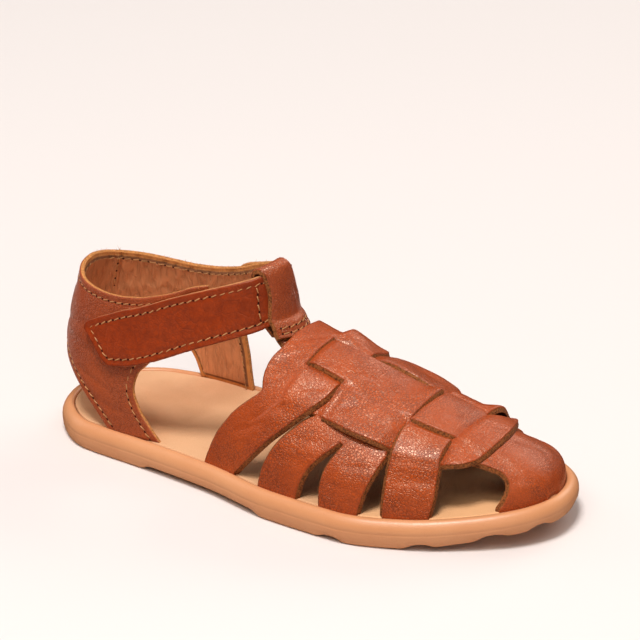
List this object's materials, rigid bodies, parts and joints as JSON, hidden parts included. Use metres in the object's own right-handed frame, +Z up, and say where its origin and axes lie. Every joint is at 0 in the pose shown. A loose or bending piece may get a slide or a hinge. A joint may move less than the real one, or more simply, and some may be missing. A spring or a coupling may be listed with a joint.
{
  "type": "child's closed-toe sandal",
  "caption": "Right-foot child's flat sandal with a woven leather toe, an open heel arch, a bar at the instep and a closing strap round the ankle.",
  "frame": {"origin": "on the ground under the middle of the sole", "axes": "+X to the toe, +Y to the wearer's left, which is the inner side of this right shoe, +Z up"},
  "size_m": [0.2, 0.0838, 0.0772],
  "materials": {
    "rubber": "satin gum rubber",
    "insole_leather": "smooth undyed leather",
    "upper_leather": "pebbled waxed leather",
    "strap_leather": "smooth waxed leather"
  },
  "bodies": {
    "root": {"outsole": "rubber", "insole": "insole_leather", "upper_vamp": "upper_leather", "heel_quarter": "upper_leather", "t_bar": "upper_leather", "closing_strap": "strap_leather"}
  },
  "joints": []
}
